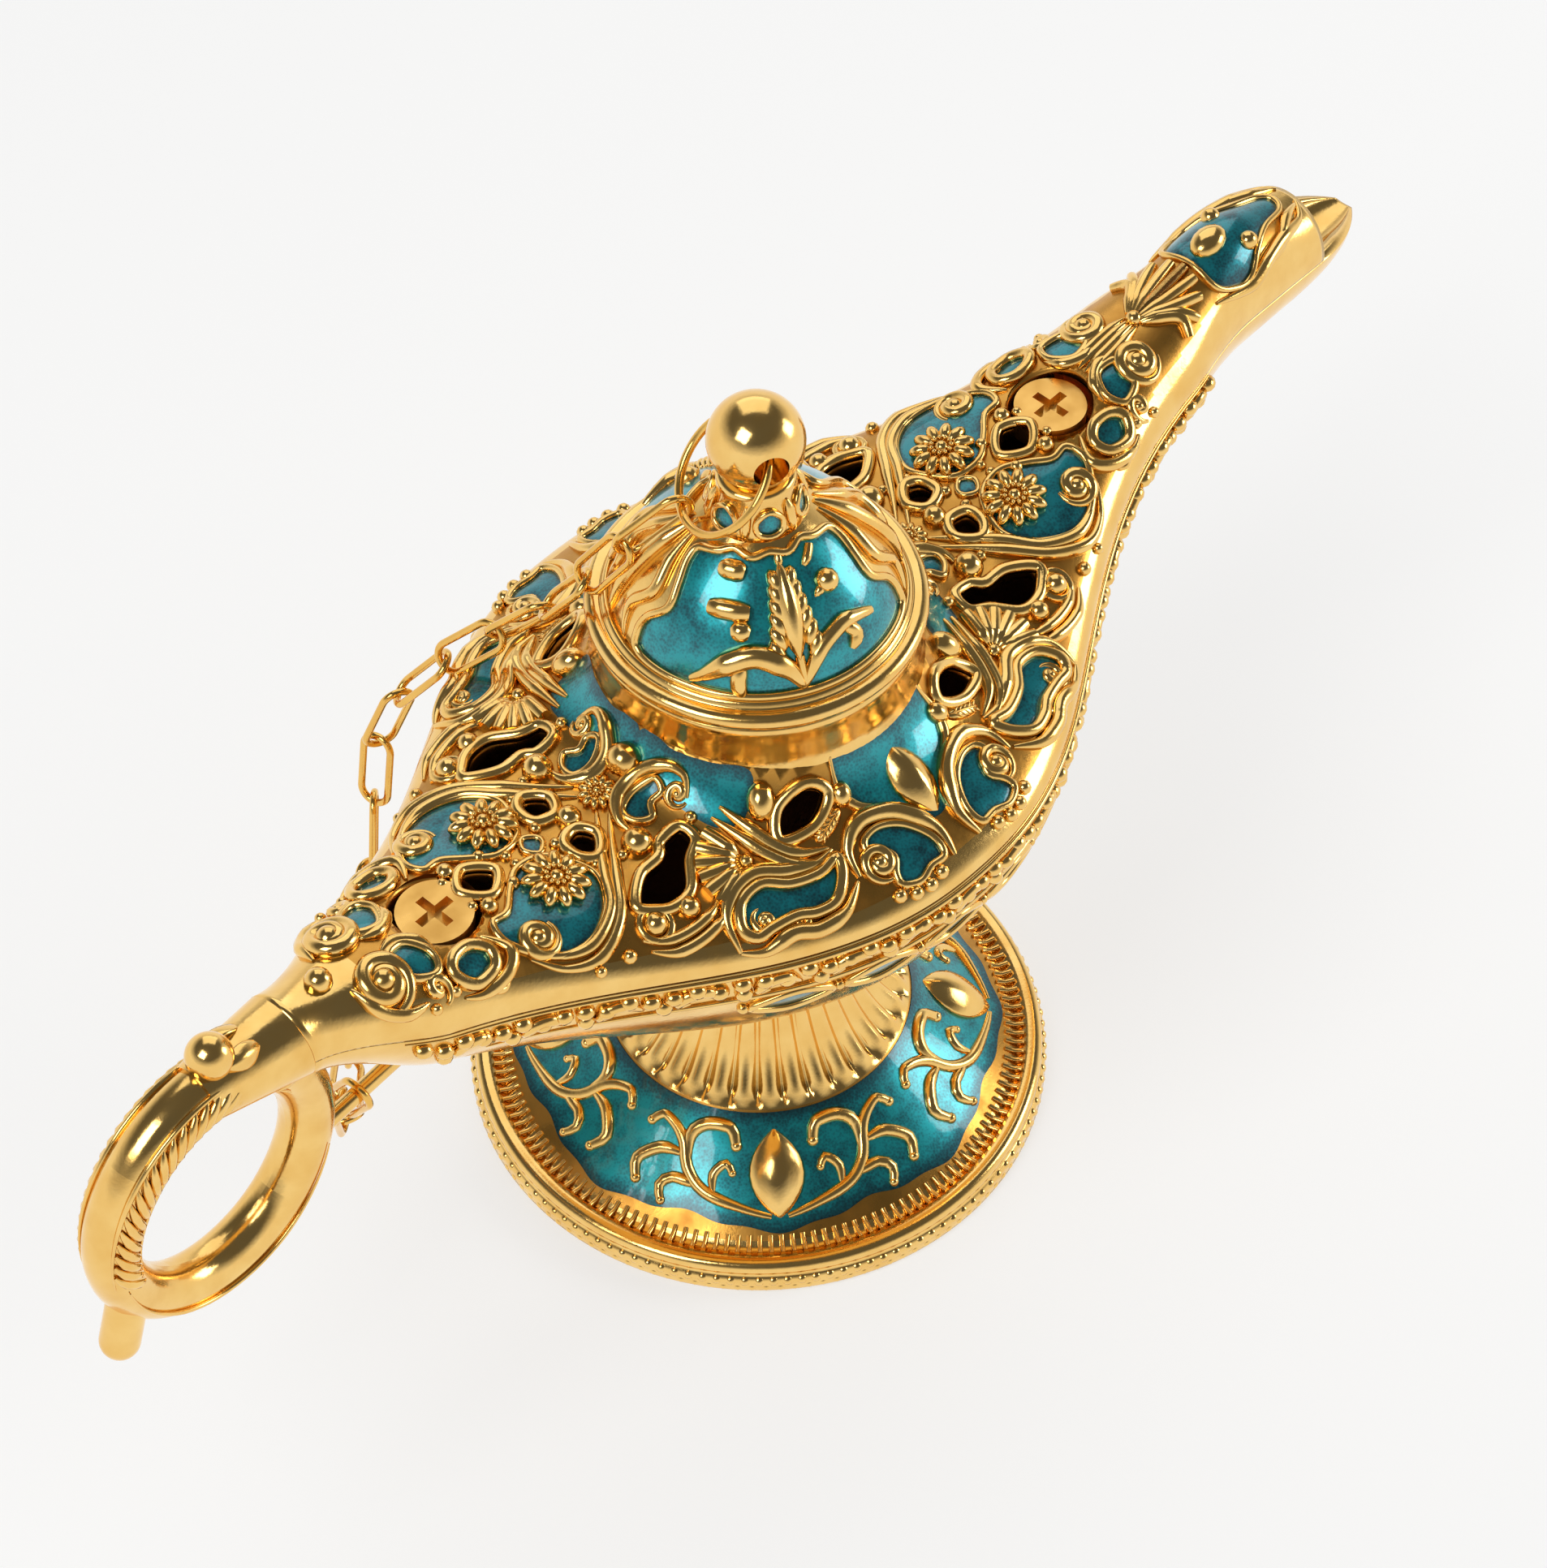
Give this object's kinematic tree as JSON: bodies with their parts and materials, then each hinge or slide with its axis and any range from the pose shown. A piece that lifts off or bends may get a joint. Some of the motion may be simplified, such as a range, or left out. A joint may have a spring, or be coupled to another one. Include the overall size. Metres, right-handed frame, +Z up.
{
  "type": "genie oil lamp",
  "caption": "Ornamental genie oil lamp on a round foot: boat-shaped bowl with a spout, pierced scrollwork cover, ring handle, and a domed lid on a chain.",
  "frame": {"origin": "centre of the foot, on the table", "axes": "+X towards the spout along the lamp's length, +Y towards the side the chain hangs on, +Z up"},
  "size_m": [0.1191, 0.0417, 0.0661],
  "materials": {
    "gold_casting": "polished gold plate on a casting, teal enamel in the hollows",
    "gold_screw": "satin gold plate",
    "gold_wire": "polished gold plate"
  },
  "bodies": {
    "lamp": {"lower_shell": "gold_casting", "upper_shell": "gold_casting", "shell_screws": "gold_screw", "foot": "gold_casting", "foot_screw": "gold_screw", "handle": "gold_casting"},
    "lid": {"lid": "gold_casting", "finial_ball": "gold_casting"},
    "finial_ring": {"finial_ring": "gold_wire"},
    "chain_link_01": {"chain_link_01": "gold_wire"},
    "chain_link_02": {"chain_link_02": "gold_wire"},
    "chain_link_03": {"chain_link_03": "gold_wire"},
    "chain_link_04": {"chain_link_04": "gold_wire"},
    "chain_link_05": {"chain_link_05": "gold_wire"},
    "chain_link_06": {"chain_link_06": "gold_wire"},
    "chain_link_07": {"chain_link_07": "gold_wire"},
    "chain_link_08": {"chain_link_08": "gold_wire"},
    "chain_link_09": {"chain_link_09": "gold_wire"},
    "chain_link_10": {"chain_link_10": "gold_wire"},
    "chain_link_11": {"chain_link_11": "gold_wire"},
    "chain_link_12": {"chain_link_12": "gold_wire"},
    "chain_link_13": {"chain_link_13": "gold_wire"},
    "chain_link_14": {"chain_link_14": "gold_wire"},
    "chain_link_15": {"chain_link_15": "gold_wire"},
    "chain_link_16": {"chain_link_16": "gold_wire"}
  },
  "joints": [
    {"name": "lid_lift", "type": "slide", "parent": "lamp", "child": "lid", "axis": [0, 0, 1], "range_m": [0, 0.012]},
    {"name": "ring_swing", "type": "hinge", "parent": "lid", "child": "finial_ring", "pos_m": [0, 0, 0.06299], "axis": [0.4648, 0.8854, 0], "range_deg": [-2, 7.03]},
    {"name": "link_01_turn", "type": "hinge", "parent": "finial_ring", "child": "chain_link_01", "pos_m": [-0.00351, 0.00284, 0.05803], "axis": [-0.2139, -0.2673, -0.9396], "range_deg": [-2, 14.94]},
    {"name": "link_02_turn", "type": "hinge", "parent": "chain_link_01", "child": "chain_link_02", "pos_m": [-0.00659, 0.00503, 0.05492], "axis": [-0.9746, -0.0553, -0.2171], "range_deg": [-2, 6.74]},
    {"name": "link_03_turn", "type": "hinge", "parent": "chain_link_02", "child": "chain_link_03", "pos_m": [-0.00772, 0.00752, 0.05085], "axis": [-0.8181, -0.4952, 0.2924], "range_deg": [-2, 8.38]},
    {"name": "link_04_turn", "type": "hinge", "parent": "chain_link_03", "child": "chain_link_04", "pos_m": [-0.00852, 0.01026, 0.04687], "axis": [-0.7488, -0.5851, -0.3114], "range_deg": [-2, 7.33]},
    {"name": "link_05_turn", "type": "hinge", "parent": "chain_link_04", "child": "chain_link_05", "pos_m": [-0.01015, 0.0133, 0.04339], "axis": [-0.6428, 0.1931, 0.7413], "range_deg": [-2, 2.66]},
    {"name": "link_06_turn", "type": "hinge", "parent": "chain_link_05", "child": "chain_link_06", "pos_m": [-0.01218, 0.01626, 0.04005], "axis": [0.9033, 0.4125, 0.1177], "range_deg": [-2, 6.07]},
    {"name": "link_07_turn", "type": "hinge", "parent": "chain_link_06", "child": "chain_link_07", "pos_m": [-0.01408, 0.01877, 0.0363], "axis": [0.9889, 0.145, -0.033], "range_deg": [-2, 8.89]},
    {"name": "link_08_turn", "type": "hinge", "parent": "chain_link_07", "child": "chain_link_08", "pos_m": [-0.01534, 0.02003, 0.03174], "axis": [0.9949, -0.0976, -0.0242], "range_deg": [-2, 9.69]},
    {"name": "link_09_turn", "type": "hinge", "parent": "chain_link_08", "child": "chain_link_09", "pos_m": [-0.0164, 0.01973, 0.02696], "axis": [0.9646, -0.2157, 0.1519], "range_deg": [-2, 9.2]},
    {"name": "link_10_turn", "type": "hinge", "parent": "chain_link_09", "child": "chain_link_10", "pos_m": [-0.01833, 0.01824, 0.02271], "axis": [0.8954, -0.3079, 0.3217], "range_deg": [-2, 7.2]},
    {"name": "link_11_turn", "type": "hinge", "parent": "chain_link_10", "child": "chain_link_11", "pos_m": [-0.02144, 0.01577, 0.01985], "axis": [0.6944, -0.3677, 0.6185], "range_deg": [-2, 5.67]},
    {"name": "link_12_turn", "type": "hinge", "parent": "chain_link_11", "child": "chain_link_12", "pos_m": [-0.02523, 0.01282, 0.01885], "axis": [0.2287, -0.6491, 0.7255], "range_deg": [-2, 4.82]},
    {"name": "link_13_turn", "type": "hinge", "parent": "chain_link_12", "child": "chain_link_13", "pos_m": [-0.02902, 0.00978, 0.01949], "axis": [-0.2825, -0.8364, 0.4698], "range_deg": [-2, 4.8]},
    {"name": "link_14_turn", "type": "hinge", "parent": "chain_link_13", "child": "chain_link_14", "pos_m": [-0.03229, 0.00668, 0.02141], "axis": [-0.5741, -0.797, 0.1876], "range_deg": [-2, 4.77]},
    {"name": "link_15_turn", "type": "hinge", "parent": "chain_link_14", "child": "chain_link_15", "pos_m": [-0.03475, 0.00367, 0.02439], "axis": [-0.7947, -0.6069, 0.0054], "range_deg": [-2, 4.27]},
    {"name": "link_16_turn", "type": "hinge", "parent": "chain_link_15", "child": "chain_link_16", "pos_m": [-0.03612, 0.00232, 0.0289], "axis": [-0.9623, -0.247, -0.1136], "range_deg": [-2, 3.2]}
  ],
  "couplings": [
    {"joint": "ring_swing", "follows": "lid_lift", "rad_per_m": 7.3103},
    {"joint": "link_01_turn", "follows": "lid_lift", "rad_per_m": 18.82},
    {"joint": "link_02_turn", "follows": "lid_lift", "rad_per_m": 6.898},
    {"joint": "link_03_turn", "follows": "lid_lift", "rad_per_m": 9.2749},
    {"joint": "link_04_turn", "follows": "lid_lift", "rad_per_m": 7.7535},
    {"joint": "link_05_turn", "follows": "lid_lift", "rad_per_m": 0.95836},
    {"joint": "link_06_turn", "follows": "lid_lift", "rad_per_m": 5.9225},
    {"joint": "link_07_turn", "follows": "lid_lift", "rad_per_m": 10.015},
    {"joint": "link_08_turn", "follows": "lid_lift", "rad_per_m": 11.183},
    {"joint": "link_09_turn", "follows": "lid_lift", "rad_per_m": 10.47},
    {"joint": "link_10_turn", "follows": "lid_lift", "rad_per_m": 7.5676},
    {"joint": "link_11_turn", "follows": "lid_lift", "rad_per_m": 5.3447},
    {"joint": "link_12_turn", "follows": "lid_lift", "rad_per_m": 4.0952},
    {"joint": "link_13_turn", "follows": "lid_lift", "rad_per_m": 4.07},
    {"joint": "link_14_turn", "follows": "lid_lift", "rad_per_m": 4.0263},
    {"joint": "link_15_turn", "follows": "lid_lift", "rad_per_m": 3.2999},
    {"joint": "link_16_turn", "follows": "lid_lift", "rad_per_m": 1.752}
  ]
}
